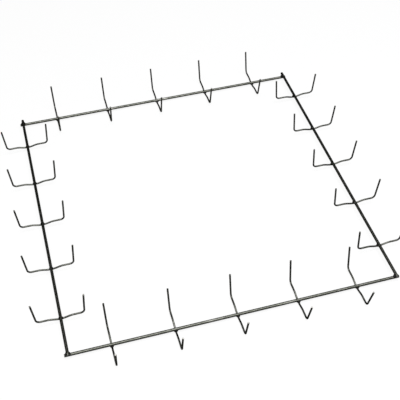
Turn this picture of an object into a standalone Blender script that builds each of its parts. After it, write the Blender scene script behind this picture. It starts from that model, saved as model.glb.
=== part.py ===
"""A square clamp frame of welded wire, modelled as its separate wires and welds.

Four straight rods cross at the corners and make the square.  Twenty U-shaped
prongs of thinner wire, five to a rod, pass under the rods and stand up on both
sides of them.  A weld holds each crossing.

Metres, +Z up.  The origin is the middle of the frame, level with the undersides
of the lowest prongs, which is what the frame stands on.
"""
import math

import bmesh
import bpy
from mathutils import Matrix

# Driving dimensions, in metres and degrees.
SIDE = 0.4064  # rod centre line to opposite rod centre line, 16 in
ROD_RADIUS = 0.00188  # 9 gauge steel wire
WIRE_RADIUS = 0.00116  # 13 gauge steel wire
GAP = 0.0003  # clearance between neighbouring solids

PRONGS_PER_SIDE = 5
PRONG_PITCH = 0.0762  # 3 in, which leaves 2 in to each corner

# The ends of the rods run on past the crossings at the corners.
SIDE_ROD_BACK_OVERHANG = 0.0052
SIDE_ROD_FRONT_OVERHANG = 0.0036
CROSS_ROD_OVERHANG = 0.0045

# One prong, seen square on: a base with a shallow dip under the rod and two arms.
BASE_HALF_WIDTH = 0.0285  # from the rod to where base line and arm line meet
DIP_DEPTH = 0.0026
DIP_HALF_WIDTH = 0.0155
DIP_FLAT_HALF_WIDTH = 0.0012
BEND_RADIUS = 0.005
ARM_RISE = 0.0342  # from the base line to the cut end
SIDE_PRONG_SPLAY = 4.2  # how far each arm leans outwards
CROSS_PRONG_SPLAY = 11.0

# Welds: squeezed-out metal around the crossing of two wires.
PRONG_WELD_RADII = (0.0031, 0.0031, 0.0015)
CORNER_WELD_RADII = (0.0038, 0.0038, 0.0019)

# How finely the round shapes are faceted.
WIRE_BEVEL_RESOLUTION = 2
ROD_BEVEL_RESOLUTION = 6
DIP_STEPS = 3
BEND_STEPS = 4
WELD_SEGMENTS = 12
WELD_RINGS = 8
CUTTER_SIDES = 16
CUTTER_LENGTH = 0.012
SMOOTH_ANGLE = math.radians(50)
CAP_MERGE_DISTANCE = 0.00001

# Levels, counted up from the surface that the frame stands on.
CROSS_ROD_Z = 2 * WIRE_RADIUS + GAP + ROD_RADIUS
SIDE_ROD_Z = CROSS_ROD_Z + 2 * ROD_RADIUS + GAP
PRONG_DROP = ROD_RADIUS + GAP + WIRE_RADIUS

PART_COLLECTION = "square_clamp_frame"
CUTTER_COLLECTION = "cutters"


def clear_scene():
    for obj in list(bpy.data.objects):
        bpy.data.objects.remove(obj, do_unlink=True)


def new_collection(name):
    collection = bpy.data.collections.new(name)
    bpy.context.scene.collection.children.link(collection)
    return collection


def metal(name, color, roughness):
    material = bpy.data.materials.new(name)
    material.use_nodes = True
    shader = material.node_tree.nodes["Principled BSDF"]
    shader.inputs["Base Color"].default_value = (*color, 1.0)
    shader.inputs["Metallic"].default_value = 1.0
    shader.inputs["Roughness"].default_value = roughness
    return material


def corner_radius(radius, facets):
    """The radius at the corners of a faceted wire whose facets touch the round one."""
    return radius / math.cos(math.pi / facets)


def bevel_facets(bevel_resolution):
    return 4 + 2 * bevel_resolution


def wire_curve(name, points, radius, bevel_resolution, material):
    """A faceted wire along straight steps, turned so that a facet faces down."""
    facets = bevel_facets(bevel_resolution)
    curve = bpy.data.curves.new(name, "CURVE")
    curve.dimensions = "3D"
    curve.bevel_depth = corner_radius(radius, facets)
    curve.bevel_resolution = bevel_resolution
    curve.use_fill_caps = True
    spline = curve.splines.new("POLY")
    spline.points.add(len(points) - 1)
    for point, (x, y, z) in zip(spline.points, points):
        point.co = (x, y, z, 1.0)
        point.tilt = math.pi / facets
    spline.use_smooth = True
    curve.materials.append(material)
    return curve


def place(name, data, location, heading, parent, collection):
    obj = bpy.data.objects.new(name, data)
    obj.location = location
    obj.rotation_euler = (0.0, 0.0, heading)
    obj.parent = parent
    collection.objects.link(obj)
    return obj


def half_prong(splay):
    """Points (across, up) from beside the rod out to the cut end, base line at 0."""
    points = [(DIP_FLAT_HALF_WIDTH, -DIP_DEPTH)]
    for step in range(1, DIP_STEPS + 1):
        share = step / DIP_STEPS
        across = DIP_FLAT_HALF_WIDTH + share * (DIP_HALF_WIDTH - DIP_FLAT_HALF_WIDTH)
        points.append((across, -DIP_DEPTH * (1 + math.cos(math.pi * share)) / 2))
    turn = math.pi / 2 - splay
    bend_start = BASE_HALF_WIDTH - BEND_RADIUS * math.tan(turn / 2)
    for step in range(BEND_STEPS + 1):
        angle = turn * step / BEND_STEPS
        across = bend_start + BEND_RADIUS * math.sin(angle)
        points.append((across, BEND_RADIUS * (1 - math.cos(angle))))
    points.append((BASE_HALF_WIDTH + ARM_RISE * math.tan(splay), ARM_RISE))
    return points


def prong_curve(name, splay_degrees, material):
    """A prong in its own XZ plane, with its origin on the axis of the rod above it."""
    right = half_prong(math.radians(splay_degrees))
    left = [(-across, up) for across, up in reversed(right)]
    base_z = DIP_DEPTH - PRONG_DROP
    points = [(across, 0.0, base_z + up) for across, up in left + right]
    return wire_curve(name, points, WIRE_RADIUS, WIRE_BEVEL_RESOLUTION, material)


def cutter_rod(name, radius, bevel_resolution, z, along_x, collection):
    """A rod-shaped cutter along X or Y that clears a faceted wire by the gap."""
    wire_corner = corner_radius(radius, bevel_facets(bevel_resolution))
    cutter_corner = corner_radius(wire_corner + GAP, CUTTER_SIDES)
    mesh = bpy.data.meshes.new(name)
    work = bmesh.new()
    bmesh.ops.create_cone(
        work,
        cap_ends=True,
        segments=CUTTER_SIDES,
        radius1=cutter_corner,
        radius2=cutter_corner,
        depth=CUTTER_LENGTH,
    )
    work.to_mesh(mesh)
    work.free()
    quarter = Matrix.Rotation(math.pi / 2, 4, "Y" if along_x else "X")
    mesh.transform(Matrix.Translation((0.0, 0.0, z)) @ quarter)
    cutter = bpy.data.objects.new(name, mesh)
    cutter.hide_render = True
    cutter.display_type = "WIRE"
    collection.objects.link(cutter)
    return cutter


def weld_mesh(name, radii, lower_radius, lower_bevel, material, cutters):
    """Weld metal around a crossing: a flat bead cut clear of the wires it joins.

    The origin is on the axis of the upper wire, a rod along Y.  The lower wire
    runs along X.
    """
    contact_z = -ROD_RADIUS - GAP / 2
    lower_z = -ROD_RADIUS - GAP - lower_radius
    upper = cutter_rod(
        name + "_upper_cutter", ROD_RADIUS, ROD_BEVEL_RESOLUTION, 0.0, False, cutters
    )
    lower = cutter_rod(
        name + "_lower_cutter", lower_radius, lower_bevel, lower_z, True, cutters
    )

    mesh = bpy.data.meshes.new(name)
    work = bmesh.new()
    bmesh.ops.create_uvsphere(work, u_segments=WELD_SEGMENTS, v_segments=WELD_RINGS, radius=1.0)
    work.to_mesh(mesh)
    work.free()
    mesh.transform(Matrix.Translation((0.0, 0.0, contact_z)) @ Matrix.Diagonal((*radii, 1.0)))
    bead = bpy.data.objects.new(name, mesh)
    cutters.objects.link(bead)
    for cutter in (upper, lower):
        cut = bead.modifiers.new(cutter.name, "BOOLEAN")
        cut.operation = "DIFFERENCE"
        cut.object = cutter
        cut.solver = "EXACT"

    depsgraph = bpy.context.evaluated_depsgraph_get()
    cut_mesh = bpy.data.meshes.new_from_object(bead.evaluated_get(depsgraph))
    cut_mesh.name = name
    bpy.data.objects.remove(bead, do_unlink=True)
    cut_mesh.materials.clear()
    cut_mesh.materials.append(material)
    work = bmesh.new()
    work.from_mesh(cut_mesh)
    bmesh.ops.remove_doubles(work, verts=work.verts, dist=CAP_MERGE_DISTANCE)
    work.to_mesh(cut_mesh)
    work.free()
    cut_mesh.shade_smooth()
    cut_mesh.set_sharp_from_angle(angle=SMOOTH_ANGLE)
    return cut_mesh


def add_rods(material, parent, collection):
    half = SIDE / 2
    side_points = [
        (0.0, -half - SIDE_ROD_FRONT_OVERHANG, 0.0),
        (0.0, half + SIDE_ROD_BACK_OVERHANG, 0.0),
    ]
    cross_points = [
        (-half - CROSS_ROD_OVERHANG, 0.0, 0.0),
        (half + CROSS_ROD_OVERHANG, 0.0, 0.0),
    ]
    side = wire_curve("side_rod", side_points, ROD_RADIUS, ROD_BEVEL_RESOLUTION, material)
    cross = wire_curve("cross_rod", cross_points, ROD_RADIUS, ROD_BEVEL_RESOLUTION, material)
    place("left_rod", side, (-half, 0.0, SIDE_ROD_Z), 0.0, parent, collection)
    place("right_rod", side, (half, 0.0, SIDE_ROD_Z), 0.0, parent, collection)
    place("front_rod", cross, (0.0, -half, CROSS_ROD_Z), 0.0, parent, collection)
    place("back_rod", cross, (0.0, half, CROSS_ROD_Z), 0.0, parent, collection)


def prong_places():
    """Name, place on the rod's axis and heading of each prong, row by row."""
    half = SIDE / 2
    for index in range(PRONGS_PER_SIDE):
        along = (index - (PRONGS_PER_SIDE - 1) / 2) * PRONG_PITCH
        number = str(index + 1)
        yield "left", number, (-half, along, SIDE_ROD_Z), 0.0
        yield "right", number, (half, along, SIDE_ROD_Z), 0.0
        yield "front", number, (along, -half, CROSS_ROD_Z), math.pi / 2
        yield "back", number, (along, half, CROSS_ROD_Z), math.pi / 2


def add_prongs(wire_metal, weld_metal, parent, collection, cutters):
    side = prong_curve("side_prong", SIDE_PRONG_SPLAY, wire_metal)
    cross = prong_curve("cross_prong", CROSS_PRONG_SPLAY, wire_metal)
    weld = weld_mesh(
        "prong_weld", PRONG_WELD_RADII, WIRE_RADIUS, WIRE_BEVEL_RESOLUTION, weld_metal, cutters
    )
    for row, number, location, heading in prong_places():
        curve = side if row in ("left", "right") else cross
        place(f"{row}_prong_{number}", curve, location, heading, parent, collection)
        place(f"{row}_prong_weld_{number}", weld, location, heading, parent, collection)


def add_corner_welds(material, parent, collection, cutters):
    half = SIDE / 2
    weld = weld_mesh(
        "corner_weld", CORNER_WELD_RADII, ROD_RADIUS, ROD_BEVEL_RESOLUTION, material, cutters
    )
    for back_or_front, y in (("back", half), ("front", -half)):
        for left_or_right, x in (("left", -half), ("right", half)):
            name = f"{back_or_front}_{left_or_right}_corner_weld"
            place(name, weld, (x, y, SIDE_ROD_Z), 0.0, parent, collection)


def build():
    clear_scene()
    parts = new_collection(PART_COLLECTION)
    cutters = new_collection(CUTTER_COLLECTION)
    rod_metal = metal("dark_rod_steel", (0.080, 0.083, 0.072), 0.30)
    wire_metal = metal("dark_prong_steel", (0.085, 0.088, 0.076), 0.34)
    weld_metal = metal("weld_metal", (0.030, 0.030, 0.027), 0.60)
    frame = bpy.data.objects.new("frame_centre", None)
    parts.objects.link(frame)
    add_rods(rod_metal, frame, parts)
    add_prongs(wire_metal, weld_metal, frame, parts, cutters)
    add_corner_welds(weld_metal, frame, parts, cutters)


build()
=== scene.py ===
"""Looks of the square clamp frame: drawn steel rods, bent wire prongs and welds.

Metres, +Z up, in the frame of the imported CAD.  Each CAD node is replaced by one
finer piece in the same place, and every piece rides on the one body, root.
"""
import math
from collections import namedtuple

import bmesh
import bpy
import numpy as np
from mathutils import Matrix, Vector, noise


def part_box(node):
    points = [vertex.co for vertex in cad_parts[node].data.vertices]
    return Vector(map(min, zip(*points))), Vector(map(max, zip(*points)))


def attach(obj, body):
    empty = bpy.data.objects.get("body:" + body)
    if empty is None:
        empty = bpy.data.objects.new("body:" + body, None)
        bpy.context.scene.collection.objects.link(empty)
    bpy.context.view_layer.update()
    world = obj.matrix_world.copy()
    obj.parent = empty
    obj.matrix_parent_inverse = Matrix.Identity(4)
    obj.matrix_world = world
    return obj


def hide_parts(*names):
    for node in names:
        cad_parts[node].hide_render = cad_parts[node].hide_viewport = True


BODY = "root"
PRONGS_PER_ROW = 5

UP = Vector((0.0, 0.0, 1.0))
ALONG_X = Vector((1.0, 0.0, 0.0))
ALONG_Y = Vector((0.0, 1.0, 0.0))

# Shape of a prong, as in the CAD: dip under the rod, level base, bend, leaning arm.
BASE_HALF_WIDTH = 0.0285
DIP_DEPTH = 0.0026
DIP_HALF_WIDTH = 0.0155
DIP_FLAT_HALF_WIDTH = 0.0012
BEND_RADIUS = 0.005
ARM_RISE = 0.0342
SIDE_PRONG_SPLAY = math.radians(4.2)
CROSS_PRONG_SPLAY = math.radians(11.0)

# How finely the wires are meshed.
ROD_SIDES = 32
ROD_RING_STEP = 0.0045
PRONG_SIDES = 20
DIP_RINGS = 15
BEND_RINGS = 14
ARM_RINGS = 10

# Sheared ends: a worn edge, then a torn face cut slightly askew.
EDGE_SHARE = 0.22
EDGE_RINGS = 4
FACE_SHARES = (0.76, 0.5, 0.25)
END_SKEW = 0.10
TEAR_DEPTH = 0.00006
TEAR_GRAIN = 2200.0
SKEW_TURN_PER_SEED = 2.4
SKEW_TURN_PER_END = 1.9

# Edges of the cut faces that stay crisp when a wire is shaded smooth.
SHARP_EDGE = math.radians(50)

# No two wires show the same stretch of the surface pattern.
PATTERN_SHIFT = 0.37

# A bend thins the wire a little in the plane of the bend.
BEND_THINNING = 0.05

# Weld metal, squeezed out around a crossing.  The bead shares are of the CAD weld's size.
WELD_SUBDIVISIONS = 4
WELD_BEAD_SHARE = 0.86
CORNER_BEAD_SHARE = 0.84
WELD_FILLET = 0.0011
WELD_SKIN = 0.00012
WELD_SINK = 0.00045
WELD_REACH = 1.25
WELD_LUMP = 0.00024
WELD_HIGHEST_LUMP = 0.4
WELD_LUMPS_PER_METRE = 850.0
MARCH_STEPS = 160
HEAT_REACH = 0.0075

# Oxide dulls the glancing reflection of the bare steel.
OXIDE_EDGE_TINT = (0.35, 0.35, 0.35, 1.0)

# Colours within the steel: rubbed bright, flecked with rust, tinted and scorched by heat.
BARE_STEEL = (0.115, 0.114, 0.106)
RUST_FLECK = (0.042, 0.020, 0.009)
STRAW_TINT = (0.085, 0.056, 0.026)
SCORCH = (0.010, 0.011, 0.016)

# Camera, at the height and heading the frame is shown from, framed a little off centre.
CAMERA_PLACE = (-0.1850, -0.6946, 0.7740)
CAMERA_TILT = math.radians(42.589)
CAMERA_ROLL = math.radians(0.523)
CAMERA_HEADING = math.radians(-15.439)
CAMERA_LENS = 69.93
CAMERA_SHIFT = 0.02

# Studio: a bright softbox overhead inside a wider dimmer one, a third in front, a pale
# floor that glows, and a dim room.  The two overhead stop short of the back, so the rods
# that run that way mirror the dim room.
KEY_PLACE = (0.10, -0.31, 1.50)
KEY_SIZE = (1.40, 1.52)
KEY_POWER = 73.0
FILL_PLACE = (0.0, -0.42, 1.60)
FILL_SIZE = (3.2, 1.6)
FILL_POWER = 54.0
FRONT_PLACE = (0.0, -2.0, 1.35)
FRONT_SIZE = (2.8, 1.3)
FRONT_POWER = 34.0
FRONT_TILT = math.radians(56.0)
FLOOR_HALF = 60.0
FLOOR_COLOR = (0.012, 0.012, 0.012)
FLOOR_GLOW = 0.89
ROOM_COLOR = (0.90, 0.92, 0.95)
ROOM_STRENGTH = 0.30

Station = namedtuple("Station", "centre tangent radius run thinning slide torn")
Bend = namedtuple("Bend", "point share")


# ---------------------------------------------------------------- wires


def end_slide(seed, which):
    """Which way an end was cut askew: different at each end, the same on every run."""
    turn = SKEW_TURN_PER_SEED * seed + SKEW_TURN_PER_END * which
    return END_SKEW * math.cos(turn), END_SKEW * math.sin(turn)


def end_stations(tip, outward, tip_run, run_sign, radius, seed, which):
    """Rings from the full wire out over the worn edge and in across the cut face."""
    edge = EDGE_SHARE * radius
    reach = edge + END_SKEW * radius
    face_radius = radius - edge
    rings = []
    for step in range(EDGE_RINGS + 1):
        angle = math.pi / 2 * step / EDGE_RINGS
        rings.append((radius - edge * (1 - math.cos(angle)), edge * math.sin(angle), False))
    rings[-1] = (face_radius, edge, True)
    rings += [(face_radius * share, edge, True) for share in FACE_SHARES]

    slide_across, slide_up = end_slide(seed, which)
    stations = []
    for ring_radius, forward, torn in rings:
        share = forward / edge
        stations.append(
            Station(
                tip + outward * (forward - reach),
                outward * run_sign,
                ring_radius,
                tip_run + run_sign * (forward - reach),
                0.0,
                (slide_across * share, slide_up * share),
                torn,
            )
        )
    return stations


def wire_stations(path, radius, seed):
    """Every ring of a wire along a path of Bends, both cut ends included."""
    points = [bend.point for bend in path]
    runs = [0.0]
    for before, after in zip(points, points[1:]):
        runs.append(runs[-1] + (after - before).length)
    first = (points[1] - points[0]).normalized()
    last = (points[-1] - points[-2]).normalized()

    stations = end_stations(points[0], -first, runs[0], -1.0, radius, seed, 0)[::-1]
    for index in range(1, len(points) - 1):
        tangent = (points[index + 1] - points[index - 1]).normalized()
        thinning = BEND_THINNING * path[index].share
        stations.append(
            Station(points[index], tangent, radius, runs[index], thinning, (0.0, 0.0), False)
        )
    stations += end_stations(points[-1], last, runs[-1], 1.0, radius, seed, 1)
    return stations


def wire_mesh(name, path, side_axis, radius, sides, seed):
    """A closed wire. wire_space holds each point as if the wire were straight."""
    stations = wire_stations(path, radius, seed)
    verts = []
    space = []
    for index, station in enumerate(stations):
        in_plane = side_axis.cross(station.tangent)
        inward = station.tangent if index < len(stations) / 2 else -station.tangent
        for step in range(sides):
            angle = 2 * math.pi * step / sides
            across, up = math.cos(angle), math.sin(angle)
            slide = station.radius * (station.slide[0] * across + station.slide[1] * up)
            point = station.centre + station.tangent * slide
            point = point + side_axis * across * station.radius
            point = point + in_plane * up * station.radius * (1 - station.thinning)
            if station.torn:
                tear = abs(noise.noise(point * TEAR_GRAIN))
                point = point + inward * tear * TEAR_DEPTH
            verts.append(point)
            space.append((across * station.radius, up * station.radius, station.run + slide))

    faces = []
    cut_faces = []
    for index in range(len(stations) - 1):
        torn = stations[index].torn and stations[index + 1].torn
        for step in range(sides):
            after = (step + 1) % sides
            row = index * sides
            following = row + sides
            faces.append((row + step, row + after, following + after, following + step))
            cut_faces.append(torn)
    for row in (0, (len(stations) - 1) * sides):
        middle = len(verts)
        ring = range(row, row + sides)
        verts.append(sum((verts[i] for i in ring), Vector()) / sides)
        space.append((0.0, 0.0, sum(space[i][2] for i in ring) / sides))
        for step in range(sides):
            faces.append((middle, row + step, row + (step + 1) % sides))
            cut_faces.append(True)

    mesh = bpy.data.meshes.new(name)
    mesh.from_pydata([tuple(point) for point in verts], [], faces)
    mesh.polygons.foreach_set("material_index", [int(cut) for cut in cut_faces])
    attribute = mesh.attributes.new("wire_space", "FLOAT_VECTOR", "POINT")
    shift = PATTERN_SHIFT * seed
    attribute.data.foreach_set("vector", [c for x, y, z in space for c in (x, y, z + shift)])
    outward_normals(mesh)
    mesh.shade_smooth()
    mesh.set_sharp_from_angle(angle=SHARP_EDGE)
    return mesh


def outward_normals(mesh):
    work = bmesh.new()
    work.from_mesh(mesh)
    bmesh.ops.recalc_face_normals(work, faces=work.faces)
    work.to_mesh(mesh)
    work.free()


def mark_heat(mesh, crossings):
    """heat: 1 at a weld, fading to 0 along the wire."""
    points = np.empty(len(mesh.vertices) * 3)
    mesh.vertices.foreach_get("co", points)
    points = points.reshape(-1, 3)
    heat = np.zeros(len(points))
    for crossing in crossings:
        distance = np.linalg.norm(points - np.array(crossing), axis=1)
        heat = np.maximum(heat, np.exp(-((distance / HEAT_REACH) ** 2)))
    attribute = mesh.attributes.new("heat", "FLOAT", "POINT")
    attribute.data.foreach_set("value", heat)


def half_prong(splay):
    """(across, up, bend share) from beside the rod out to the cut end of an arm."""
    points = []
    for step in range(DIP_RINGS + 1):
        share = step / DIP_RINGS
        across = DIP_FLAT_HALF_WIDTH + share * (DIP_HALF_WIDTH - DIP_FLAT_HALF_WIDTH)
        points.append((across, -DIP_DEPTH * (1 + math.cos(math.pi * share)) / 2, 0.0))
    turn = math.pi / 2 - splay
    bend_start = BASE_HALF_WIDTH - BEND_RADIUS * math.tan(turn / 2)
    points.append(((DIP_HALF_WIDTH + bend_start) / 2, 0.0, 0.0))
    for step in range(BEND_RINGS + 1):
        share = step / BEND_RINGS
        angle = turn * share
        across = bend_start + BEND_RADIUS * math.sin(angle)
        points.append((across, BEND_RADIUS * (1 - math.cos(angle)), math.sin(math.pi * share)))
    bend_end_across, bend_end_up, _ = points[-1]
    tip_across = BASE_HALF_WIDTH + ARM_RISE * math.tan(splay)
    for step in range(1, ARM_RINGS + 1):
        share = step / ARM_RINGS
        across = bend_end_across + share * (tip_across - bend_end_across)
        points.append((across, bend_end_up + share * (ARM_RISE - bend_end_up), 0.0))
    return points


# ---------------------------------------------------------------- welds


def smooth_union(first, second, reach):
    blend = np.maximum(reach - np.abs(first - second), 0.0) / reach
    return np.minimum(first, second) - blend * blend * reach / 4


def weld_mesh(name, contact, upper_radius, lower_radius, gap, bead, seed):
    """Weld metal, found by marching outwards from the contact point.

    bead is the axis of the upper wire, "X" or "Y", and the three radii of the bead.
    The lower wire runs across the upper one.  Near the contact the skin stands just
    proud of the wires, and further out it sinks into them and ends there.  It never
    hangs below the lower wire.
    """
    upper_axis, bead_radii = bead
    bead_radii = np.array(bead_radii)
    work = bmesh.new()
    bmesh.ops.create_icosphere(work, subdivisions=WELD_SUBDIVISIONS, radius=1.0)
    directions = np.array([tuple(vert.co.normalized()) for vert in work.verts])
    limit = WELD_REACH * max(bead_radii)
    along_upper = 1 if upper_axis == "Y" else 0
    across_upper = 1 - along_upper

    reached = np.full(len(directions), limit)
    found = np.zeros(len(directions), bool)
    for step in range(1, MARCH_STEPS + 1):
        distance = limit * step / MARCH_STEPS
        points = directions * distance
        above = points[:, 2] - (upper_radius + gap / 2)
        below = points[:, 2] + (lower_radius + gap / 2)
        upper = np.hypot(points[:, across_upper], above) - upper_radius
        lower = np.hypot(points[:, along_upper], below) - lower_radius
        round_bead = (np.linalg.norm(points / bead_radii, axis=1) - 1) * min(bead_radii)
        near = np.clip((limit - distance) / (limit - max(bead_radii)), 0.0, 1.0)
        skin = WELD_SKIN * near - WELD_SINK * (1 - near)
        wires = smooth_union(upper, lower, WELD_FILLET)
        surface = smooth_union(wires, round_bead, WELD_FILLET) - skin
        outside = (surface > 0) & ~found
        reached[outside] = distance
        found |= outside

    lowest = contact.z - gap / 2 - 2 * lower_radius + WELD_SINK / 2
    for vert, direction, distance in zip(work.verts, directions, reached):
        place = Vector(direction) * distance
        lump = noise.noise(place * WELD_LUMPS_PER_METRE + Vector((seed, 2 * seed, 0.0)))
        distance += WELD_LUMP * min(lump, WELD_HIGHEST_LUMP)
        vert.co = contact + Vector(direction) * distance
        vert.co.z = max(vert.co.z, lowest)
    mesh = bpy.data.meshes.new(name)
    work.to_mesh(mesh)
    work.free()
    mesh.shade_smooth()
    return mesh


# ---------------------------------------------------------------- materials


class Nodes:
    """Short names for building a node tree."""

    def __init__(self, name):
        self.material = bpy.data.materials.new(name)
        self.material.use_nodes = True
        self.tree = self.material.node_tree
        self.shader = self.tree.nodes["Principled BSDF"]

    def add(self, kind, **settings):
        node = self.tree.nodes.new(kind)
        for key, value in settings.items():
            setattr(node, key, value)
        return node

    def link(self, source, target):
        self.tree.links.new(source, target)

    def attribute(self, name, output):
        return self.add("ShaderNodeAttribute", attribute_name=name).outputs[output]

    def scaled(self, vector, scale):
        node = self.add("ShaderNodeVectorMath", operation="MULTIPLY")
        self.link(vector, node.inputs[0])
        node.inputs[1].default_value = scale
        return node.outputs[0]

    def noise(self, vector, detail=4.0, roughness=0.55):
        node = self.add("ShaderNodeTexNoise")
        node.inputs["Scale"].default_value = 1.0
        node.inputs["Detail"].default_value = detail
        node.inputs["Roughness"].default_value = roughness
        self.link(vector, node.inputs["Vector"])
        return node.outputs["Fac"]

    def ramp(self, value, low, high, to_low=0.0, to_high=1.0):
        node = self.add("ShaderNodeMapRange")
        node.inputs["From Min"].default_value = low
        node.inputs["From Max"].default_value = high
        node.inputs["To Min"].default_value = to_low
        node.inputs["To Max"].default_value = to_high
        self.link(value, node.inputs["Value"])
        return node.outputs["Result"]

    def math(self, operation, first, second):
        node = self.add("ShaderNodeMath", operation=operation)
        for socket, value in zip(node.inputs, (first, second)):
            if isinstance(value, float):
                socket.default_value = value
            else:
                self.link(value, socket)
        return node.outputs[0]

    def mix(self, share, first, second):
        node = self.add("ShaderNodeMix", data_type="RGBA")
        self.link(share, node.inputs["Factor"])
        for socket, value in ((node.inputs["A"], first), (node.inputs["B"], second)):
            if isinstance(value, tuple):
                socket.default_value = (*value, 1.0)
            else:
                self.link(value, socket)
        return node.outputs["Result"]

    def bump(self, height, strength, distance):
        node = self.add("ShaderNodeBump")
        node.inputs["Strength"].default_value = strength
        node.inputs["Distance"].default_value = distance
        self.link(height, node.inputs["Height"])
        self.link(node.outputs["Normal"], self.shader.inputs["Normal"])


def drawn_steel(name, base, worn, roughness):
    """Drawn wire: die lines along it, mottled oxide, rubbed spots, pits, scorched welds."""
    nodes = Nodes(name)
    space = nodes.attribute("wire_space", "Vector")
    heat = nodes.attribute("heat", "Fac")
    fine_lines = nodes.noise(nodes.scaled(space, (5200.0, 5200.0, 28.0)), 3.0)
    broad_lines = nodes.noise(nodes.scaled(space, (1500.0, 1500.0, 9.0)), 2.0)
    mottle = nodes.noise(nodes.scaled(space, (520.0, 520.0, 190.0)), 6.0, 0.62)
    rubbed = nodes.noise(nodes.scaled(space, (160.0, 160.0, 42.0)), 3.0)
    pit_noise = nodes.noise(nodes.scaled(space, (2600.0, 2600.0, 1900.0)), 2.0)
    pits = nodes.ramp(pit_noise, 0.66, 0.74)

    lines = nodes.math("ADD", fine_lines, nodes.math("MULTIPLY", broad_lines, 0.6))
    streaks = nodes.ramp(lines, 0.62, 0.98)
    bare = nodes.math("MULTIPLY", nodes.ramp(mottle, 0.42, 0.60), streaks)
    bright = nodes.math("MULTIPLY", nodes.ramp(rubbed, 0.58, 0.72), streaks)
    color = nodes.mix(bare, base, worn)
    color = nodes.mix(nodes.math("MULTIPLY", bright, 0.8), color, BARE_STEEL)
    rust = nodes.math("MULTIPLY", pits, nodes.ramp(rubbed, 0.40, 0.60))
    color = nodes.mix(nodes.math("MULTIPLY", rust, 0.8), color, RUST_FLECK)
    straw = nodes.math("SUBTRACT", nodes.ramp(heat, 0.04, 0.20), nodes.ramp(heat, 0.25, 0.55))
    color = nodes.mix(nodes.math("MULTIPLY", straw, 0.45), color, STRAW_TINT)
    scorch = nodes.ramp(nodes.math("ADD", heat, nodes.math("MULTIPLY", mottle, 0.3)), 0.45, 0.95)
    color = nodes.mix(nodes.math("MULTIPLY", scorch, 0.85), color, SCORCH)
    nodes.link(color, nodes.shader.inputs["Base Color"])

    gloss = nodes.ramp(mottle, 0.3, 0.7, roughness + 0.10, roughness - 0.05)
    gloss = nodes.math("ADD", gloss, nodes.math("MULTIPLY", pits, 0.20))
    gloss = nodes.math("ADD", gloss, nodes.math("MULTIPLY", scorch, 0.28))
    nodes.link(gloss, nodes.shader.inputs["Roughness"])
    nodes.shader.inputs["Metallic"].default_value = 1.0
    nodes.shader.inputs["Specular Tint"].default_value = OXIDE_EDGE_TINT
    relief = nodes.math("SUBTRACT", lines, nodes.math("MULTIPLY", pits, 1.5))
    nodes.bump(nodes.math("ADD", relief, mottle), 0.85, 0.00006)
    return nodes.material


def cut_steel():
    """The sheared face of a wire: bright, with a grainy torn surface."""
    nodes = Nodes("cut_steel")
    space = nodes.attribute("wire_space", "Vector")
    grain = nodes.noise(nodes.scaled(space, (5200.0, 2300.0, 2300.0)), 4.0, 0.65)
    color = nodes.mix(nodes.ramp(grain, 0.35, 0.65), (0.055, 0.052, 0.046), (0.16, 0.16, 0.155))
    nodes.link(color, nodes.shader.inputs["Base Color"])
    nodes.link(nodes.ramp(grain, 0.3, 0.7, 0.36, 0.58), nodes.shader.inputs["Roughness"])
    nodes.shader.inputs["Metallic"].default_value = 1.0
    nodes.bump(grain, 0.5, 0.00006)
    return nodes.material


def scorched_weld():
    """Weld metal: nearly black scale with a rough skin and a few brown flecks."""
    nodes = Nodes("scorched_weld")
    place = nodes.add("ShaderNodeTexCoord").outputs["Object"]
    scale = nodes.noise(nodes.scaled(place, (1500.0, 1500.0, 1500.0)), 5.0, 0.6)
    flecks = nodes.noise(nodes.scaled(place, (700.0, 700.0, 700.0)), 3.0)
    color = nodes.mix(nodes.ramp(scale, 0.35, 0.70), (0.006, 0.006, 0.007), (0.030, 0.029, 0.027))
    brown = nodes.math("MULTIPLY", nodes.ramp(flecks, 0.60, 0.72), 0.5)
    color = nodes.mix(brown, color, (0.050, 0.028, 0.013))
    nodes.link(color, nodes.shader.inputs["Base Color"])
    nodes.link(nodes.ramp(scale, 0.3, 0.7, 0.48, 0.78), nodes.shader.inputs["Roughness"])
    nodes.shader.inputs["Metallic"].default_value = 1.0
    nodes.shader.inputs["Specular Tint"].default_value = OXIDE_EDGE_TINT
    nodes.bump(scale, 0.6, 0.00012)
    return nodes.material


def pale_floor():
    nodes = Nodes("pale_floor")
    place = nodes.add("ShaderNodeTexCoord").outputs["Object"]
    grain = nodes.noise(nodes.scaled(place, (60.0, 60.0, 60.0)), 3.0)
    nodes.shader.inputs["Base Color"].default_value = (*FLOOR_COLOR, 1.0)
    nodes.shader.inputs["Emission Color"].default_value = (1.0, 1.0, 1.0, 1.0)
    nodes.shader.inputs["Emission Strength"].default_value = FLOOR_GLOW
    nodes.link(nodes.ramp(grain, 0.3, 0.7, 0.75, 0.85), nodes.shader.inputs["Roughness"])
    return nodes.material


# ---------------------------------------------------------------- the object


def add_piece(name, mesh, materials):
    for material in materials:
        mesh.materials.append(material)
    piece = bpy.data.objects.new(name + "_visual", mesh)
    bpy.context.scene.collection.objects.link(piece)
    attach(piece, BODY)
    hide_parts(name)


def rod_facts(row):
    """Axis, side axis, radius and the two ends of a rod, from its CAD box."""
    low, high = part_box(f"{row}_rod")
    axis, side_axis = (ALONG_Y, ALONG_X) if row in ("left", "right") else (ALONG_X, ALONG_Y)
    middle = (low + high) / 2
    half_length = (high - low).dot(axis) / 2
    radius = (high - low).dot(side_axis) / 2
    return side_axis, radius, middle - axis * half_length, middle + axis * half_length


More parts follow.
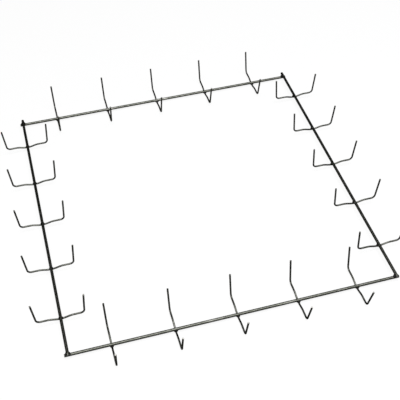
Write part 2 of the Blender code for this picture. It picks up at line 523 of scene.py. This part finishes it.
def prong_facts(row, number):
    """Across axis, side axis, wire radius and the middle of the dip, from the CAD box."""
    low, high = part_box(f"{row}_prong_{number}")
    across, side_axis = (ALONG_X, ALONG_Y) if row in ("left", "right") else (ALONG_Y, ALONG_X)
    radius = (high - low).dot(side_axis) / 2
    middle = (low + high) / 2
    dip = Vector((middle.x, middle.y, low.z + radius))
    return across, side_axis, radius, dip


def add_rod(row, crossings, materials, seed):
    side_axis, radius, start, end = rod_facts(row)
    rings = round((end - start).length / ROD_RING_STEP)
    path = [Bend(start.lerp(end, step / rings), 0.0) for step in range(rings + 1)]
    mesh = wire_mesh(f"{row}_rod", path, side_axis, radius, ROD_SIDES, seed)
    mark_heat(mesh, crossings)
    add_piece(f"{row}_rod", mesh, materials)


def add_prong(row, number, crossing, materials, seed):
    across, side_axis, radius, dip = prong_facts(row, number)
    splay = SIDE_PRONG_SPLAY if row in ("left", "right") else CROSS_PRONG_SPLAY
    right = half_prong(splay)
    left = [(-out, up, share) for out, up, share in reversed(right)]
    base = dip + UP * DIP_DEPTH
    path = [Bend(base + across * out + UP * up, share) for out, up, share in left + right]
    mesh = wire_mesh(f"{row}_prong_{number}", path, side_axis, radius, PRONG_SIDES, seed)
    mark_heat(mesh, [crossing])
    add_piece(f"{row}_prong_{number}", mesh, materials)


def bead_radii(node, share):
    low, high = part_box(node)
    return tuple((high - low) / 2 * share)


def crossing_of(row, number):
    """Contact point, rod radius, wire radius and gap where a prong meets its rod."""
    _, rod_radius, start, _ = rod_facts(row)
    _, _, wire_radius, dip = prong_facts(row, number)
    rod_bottom = start.z - rod_radius
    wire_top = dip.z + wire_radius
    contact = Vector((dip.x, dip.y, (rod_bottom + wire_top) / 2))
    return contact, rod_radius, wire_radius, rod_bottom - wire_top


def corner_of(back_or_front, left_or_right):
    """Contact point, both rod radii and gap where two rods cross."""
    _, upper_radius, upper_start, _ = rod_facts(left_or_right)
    _, lower_radius, lower_start, _ = rod_facts(back_or_front)
    rod_bottom = upper_start.z - upper_radius
    rod_top = lower_start.z + lower_radius
    contact = Vector((upper_start.x, lower_start.y, (rod_bottom + rod_top) / 2))
    return contact, upper_radius, lower_radius, rod_bottom - rod_top


def add_object():
    rod_materials = [
        drawn_steel("rod_steel", (0.026, 0.027, 0.023), (0.062, 0.063, 0.055), 0.25),
        cut_steel(),
    ]
    prong_materials = [
        drawn_steel("prong_steel", (0.024, 0.025, 0.021), (0.058, 0.059, 0.052), 0.31),
        rod_materials[1],
    ]
    weld_materials = [scorched_weld()]
    heated = {row: [] for row in ("left", "right", "front", "back")}
    seed = 1

    for row in heated:
        for number in range(1, PRONGS_PER_ROW + 1):
            seed += 1
            contact, rod_radius, wire_radius, gap = crossing_of(row, number)
            node = f"{row}_prong_weld_{number}"
            bead = ("Y" if row in ("left", "right") else "X", bead_radii(node, WELD_BEAD_SHARE))
            mesh = weld_mesh(node, contact, rod_radius, wire_radius, gap, bead, seed)
            add_piece(node, mesh, weld_materials)
            add_prong(row, number, contact, prong_materials, seed)
            heated[row].append(contact)

    for back_or_front in ("back", "front"):
        for left_or_right in ("left", "right"):
            seed += 1
            contact, upper_radius, lower_radius, gap = corner_of(back_or_front, left_or_right)
            node = f"{back_or_front}_{left_or_right}_corner_weld"
            bead = ("Y", bead_radii(node, CORNER_BEAD_SHARE))
            mesh = weld_mesh(node, contact, upper_radius, lower_radius, gap, bead, seed)
            add_piece(node, mesh, weld_materials)
            heated[back_or_front].append(contact)
            heated[left_or_right].append(contact)

    for row, crossings in heated.items():
        seed += 1
        add_rod(row, crossings, rod_materials, seed)


# ---------------------------------------------------------------- the studio


def add_floor():
    corners = [(-1, -1), (1, -1), (1, 1), (-1, 1)]
    mesh = bpy.data.meshes.new("floor")
    mesh.from_pydata([(x * FLOOR_HALF, y * FLOOR_HALF, 0.0) for x, y in corners], [], [(0, 1, 2, 3)])
    mesh.materials.append(pale_floor())
    floor = bpy.data.objects.new("floor", mesh)
    bpy.context.scene.collection.objects.link(floor)


def add_softbox(name, place, size, power, tilt=0.0):
    light = bpy.data.lights.new(name, "AREA")
    light.shape = "RECTANGLE"
    light.size, light.size_y = size
    light.energy = power
    softbox = bpy.data.objects.new(name, light)
    softbox.location = place
    softbox.rotation_euler = (tilt, 0.0, 0.0)
    bpy.context.scene.collection.objects.link(softbox)


def add_room():
    world = bpy.data.worlds.new("room")
    world.use_nodes = True
    background = world.node_tree.nodes["Background"]
    background.inputs["Color"].default_value = (*ROOM_COLOR, 1.0)
    background.inputs["Strength"].default_value = ROOM_STRENGTH
    bpy.context.scene.world = world


def add_camera():
    data = bpy.data.cameras.new("camera")
    data.lens = CAMERA_LENS
    data.shift_x = CAMERA_SHIFT
    camera = bpy.data.objects.new("camera", data)
    camera.location = CAMERA_PLACE
    camera.rotation_euler = (CAMERA_TILT, CAMERA_ROLL, CAMERA_HEADING)
    bpy.context.scene.collection.objects.link(camera)
    bpy.context.scene.camera = camera


def use_plain_color_view():
    """Shows the pale floor as white without a glare that the wires would mirror."""
    bpy.context.scene.view_settings.view_transform = "Standard"


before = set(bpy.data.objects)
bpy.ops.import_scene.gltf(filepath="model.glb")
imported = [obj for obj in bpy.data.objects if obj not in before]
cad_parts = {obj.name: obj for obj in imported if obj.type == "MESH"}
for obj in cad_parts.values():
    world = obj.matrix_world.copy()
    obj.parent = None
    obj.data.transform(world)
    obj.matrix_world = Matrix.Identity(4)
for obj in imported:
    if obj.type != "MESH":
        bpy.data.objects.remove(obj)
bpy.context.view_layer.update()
add_object()
add_floor()
add_softbox("key", KEY_PLACE, KEY_SIZE, KEY_POWER)
add_softbox("fill", FILL_PLACE, FILL_SIZE, FILL_POWER)
add_softbox("front", FRONT_PLACE, FRONT_SIZE, FRONT_POWER, FRONT_TILT)
add_room()
add_camera()
use_plain_color_view()
